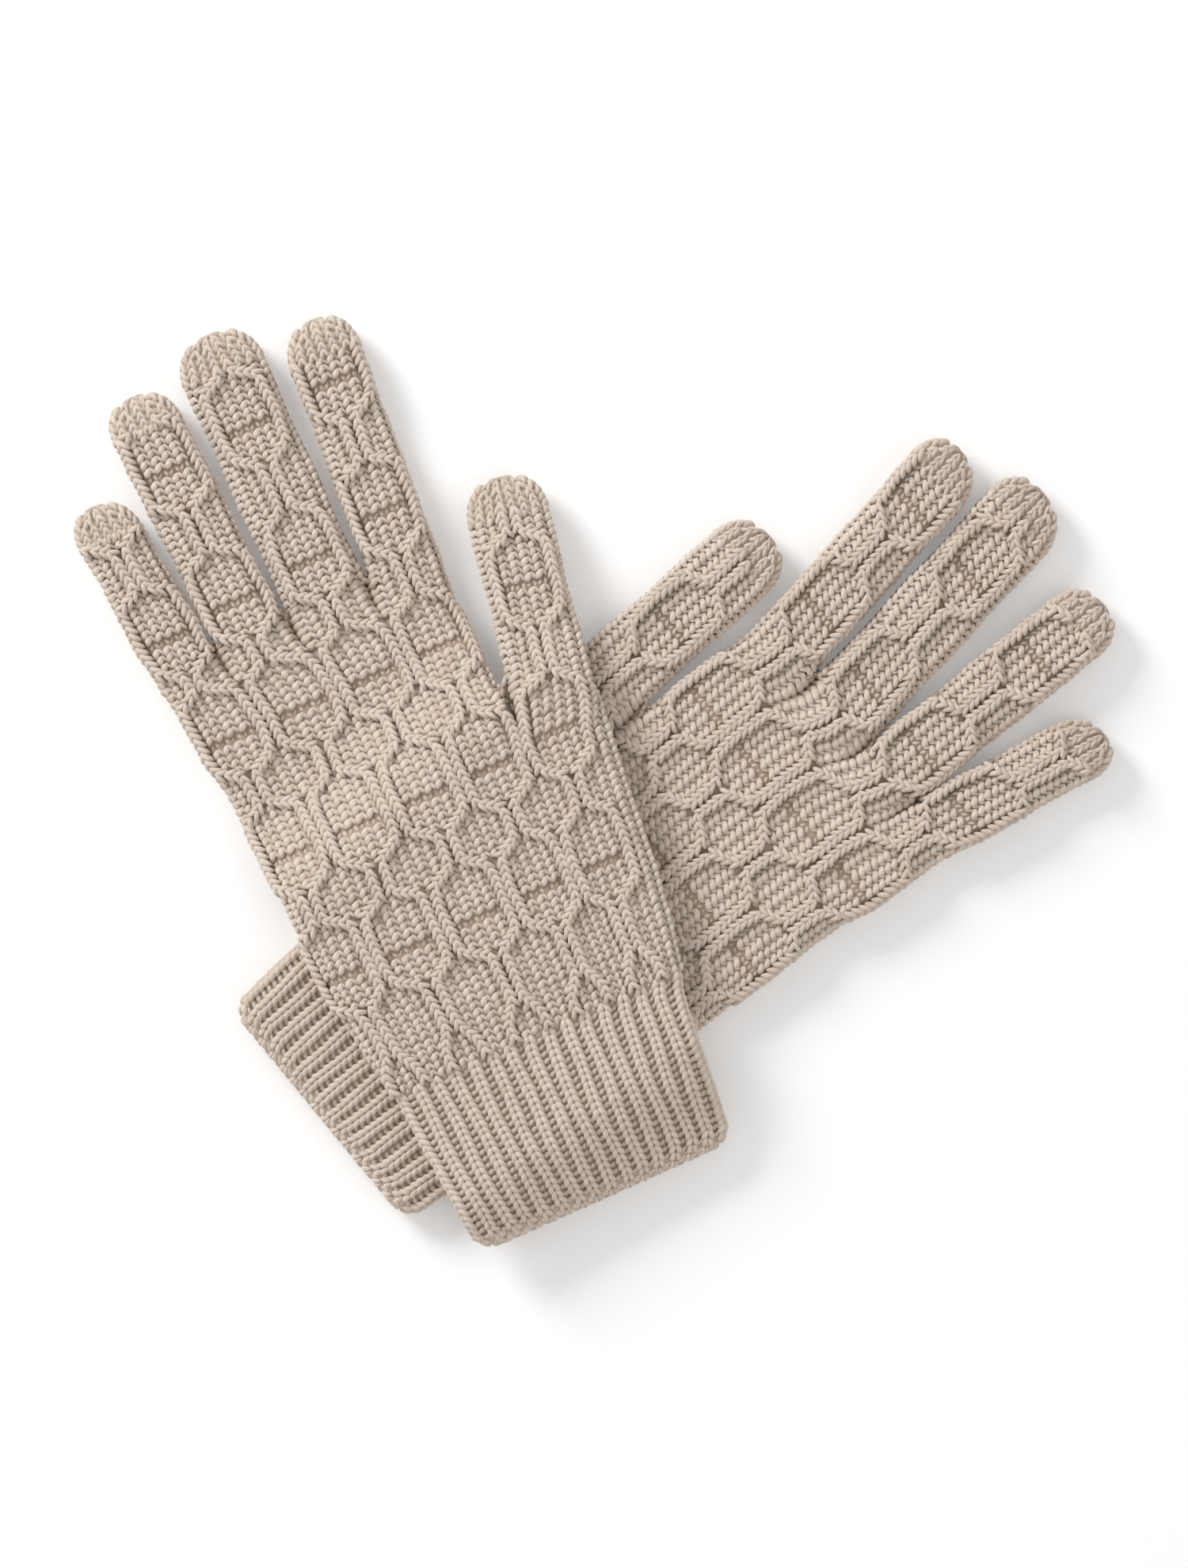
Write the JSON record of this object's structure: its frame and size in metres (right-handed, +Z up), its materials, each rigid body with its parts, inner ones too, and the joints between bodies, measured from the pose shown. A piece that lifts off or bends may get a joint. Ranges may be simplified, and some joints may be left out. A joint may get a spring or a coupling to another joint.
{
  "type": "knitted gloves",
  "caption": "Pair of cable-knit wool gloves with full fingers and ribbed cuffs, lying flat, one across the other; every finger bends and the upper glove lifts off.",
  "frame": {"origin": "on the surface the gloves lie on, under the middle of the pair", "axes": "+Z up from the surface, +Y towards the fingertips of the upper glove, +X towards the fingertips of the lower glove"},
  "size_m": [0.2771, 0.2481, 0.0197],
  "materials": {
    "wool_knit": "soft matt wool",
    "wool_rib": "soft matt ribbed wool"
  },
  "bodies": {
    "under_glove": {"under_hand": "wool_knit", "under_cuff": "wool_rib"},
    "top_glove": {"top_hand": "wool_knit", "top_cuff": "wool_rib"},
    "under_little_base": {"under_little_base": "wool_knit"},
    "under_little_tip": {"under_little_tip": "wool_knit"},
    "under_ring_base": {"under_ring_base": "wool_knit"},
    "under_ring_tip": {"under_ring_tip": "wool_knit"},
    "under_middle_base": {"under_middle_base": "wool_knit"},
    "under_middle_tip": {"under_middle_tip": "wool_knit"},
    "under_index_base": {"under_index_base": "wool_knit"},
    "under_index_tip": {"under_index_tip": "wool_knit"},
    "under_thumb_base": {"under_thumb_base": "wool_knit"},
    "under_thumb_tip": {"under_thumb_tip": "wool_knit"},
    "top_little_base": {"top_little_base": "wool_knit"},
    "top_little_tip": {"top_little_tip": "wool_knit"},
    "top_ring_base": {"top_ring_base": "wool_knit"},
    "top_ring_tip": {"top_ring_tip": "wool_knit"},
    "top_middle_base": {"top_middle_base": "wool_knit"},
    "top_middle_tip": {"top_middle_tip": "wool_knit"},
    "top_index_base": {"top_index_base": "wool_knit"},
    "top_index_tip": {"top_index_tip": "wool_knit"},
    "top_thumb_base": {"top_thumb_base": "wool_knit"},
    "top_thumb_tip": {"top_thumb_tip": "wool_knit"}
  },
  "joints": [
    {"name": "top_glove_lift", "type": "slide", "parent": "under_glove", "child": "top_glove", "axis": [0, 0, 1], "range_m": [0, 0.12]},
    {"name": "under_little_knuckle", "type": "hinge", "parent": "under_glove", "child": "under_little_base", "pos_m": [0.10057, -0.00723, 0.0048], "axis": [0.6347, -0.7727, 0], "range_deg": [0, 85]},
    {"name": "under_little_middle_joint", "type": "hinge", "parent": "under_little_base", "child": "under_little_tip", "pos_m": [0.11782, 0.00171, 0.0048], "axis": [0.6347, -0.7727, 0], "range_deg": [0, 90]},
    {"name": "under_ring_knuckle", "type": "hinge", "parent": "under_glove", "child": "under_ring_base", "pos_m": [0.08769, 0.00846, 0.0048], "axis": [0.6347, -0.7727, 0], "range_deg": [0, 85]},
    {"name": "under_ring_middle_joint", "type": "hinge", "parent": "under_ring_base", "child": "under_ring_tip", "pos_m": [0.11042, 0.02647, 0.0048], "axis": [0.6347, -0.7727, 0], "range_deg": [0, 90]},
    {"name": "under_middle_knuckle", "type": "hinge", "parent": "under_glove", "child": "under_middle_base", "pos_m": [0.07322, 0.02608, 0.0048], "axis": [0.6347, -0.7727, 0], "range_deg": [0, 85]},
    {"name": "under_middle_middle_joint", "type": "hinge", "parent": "under_middle_base", "child": "under_middle_tip", "pos_m": [0.09476, 0.05026, 0.0048], "axis": [0.6347, -0.7727, 0], "range_deg": [0, 90]},
    {"name": "under_index_knuckle", "type": "hinge", "parent": "under_glove", "child": "under_index_base", "pos_m": [0.05874, 0.04369, 0.0048], "axis": [0.6347, -0.7727, 0], "range_deg": [0, 85]},
    {"name": "under_index_middle_joint", "type": "hinge", "parent": "under_index_base", "child": "under_index_tip", "pos_m": [0.07794, 0.06523, 0.0048], "axis": [0.6347, -0.7727, 0], "range_deg": [0, 90]},
    {"name": "under_thumb_knuckle", "type": "hinge", "parent": "under_glove", "child": "under_thumb_base", "pos_m": [0.01297, 0.03483, 0.0048], "axis": [0.6743, -0.7385, 0], "range_deg": [0, 70]},
    {"name": "under_thumb_middle_joint", "type": "hinge", "parent": "under_thumb_base", "child": "under_thumb_tip", "pos_m": [0.02811, 0.04865, 0.0048], "axis": [0.6743, -0.7385, 0], "range_deg": [0, 85]},
    {"name": "top_little_knuckle", "type": "hinge", "parent": "top_glove", "child": "top_little_base", "pos_m": [-0.11407, 0.0395, 0.0048], "axis": [0.915, 0.4035, 0], "range_deg": [0, 85]},
    {"name": "top_little_middle_joint", "type": "hinge", "parent": "top_little_base", "child": "top_little_tip", "pos_m": [-0.12434, 0.05574, 0.0048], "axis": [0.915, 0.4035, 0], "range_deg": [0, 90]},
    {"name": "top_ring_knuckle", "type": "hinge", "parent": "top_glove", "child": "top_ring_base", "pos_m": [-0.0955, 0.04769, 0.0048], "axis": [0.915, 0.4035, 0], "range_deg": [0, 85]},
    {"name": "top_ring_middle_joint", "type": "hinge", "parent": "top_ring_base", "child": "top_ring_tip", "pos_m": [-0.10948, 0.07322, 0.0048], "axis": [0.915, 0.4035, 0], "range_deg": [0, 90]},
    {"name": "top_middle_knuckle", "type": "hinge", "parent": "top_glove", "child": "top_middle_base", "pos_m": [-0.07464, 0.05689, 0.0048], "axis": [0.915, 0.4035, 0], "range_deg": [0, 85]},
    {"name": "top_middle_middle_joint", "type": "hinge", "parent": "top_middle_base", "child": "top_middle_tip", "pos_m": [-0.08822, 0.08588, 0.0048], "axis": [0.915, 0.4035, 0], "range_deg": [0, 90]},
    {"name": "top_index_knuckle", "type": "hinge", "parent": "top_glove", "child": "top_index_base", "pos_m": [-0.05378, 0.06609, 0.0048], "axis": [0.915, 0.4035, 0], "range_deg": [0, 85]},
    {"name": "top_index_middle_joint", "type": "hinge", "parent": "top_index_base", "child": "top_index_tip", "pos_m": [-0.06396, 0.09275, 0.0048], "axis": [0.915, 0.4035, 0], "range_deg": [0, 90]},
    {"name": "top_thumb_knuckle", "type": "hinge", "parent": "top_glove", "child": "top_thumb_base", "pos_m": [-0.01445, 0.03863, 0.01228], "axis": [0.9677, 0.2521, 0], "range_deg": [0, 70]},
    {"name": "top_thumb_middle_joint", "type": "hinge", "parent": "top_thumb_base", "child": "top_thumb_tip", "pos_m": [-0.01955, 0.0582, 0.00895], "axis": [0.9677, 0.2521, 0], "range_deg": [0, 85]}
  ]
}
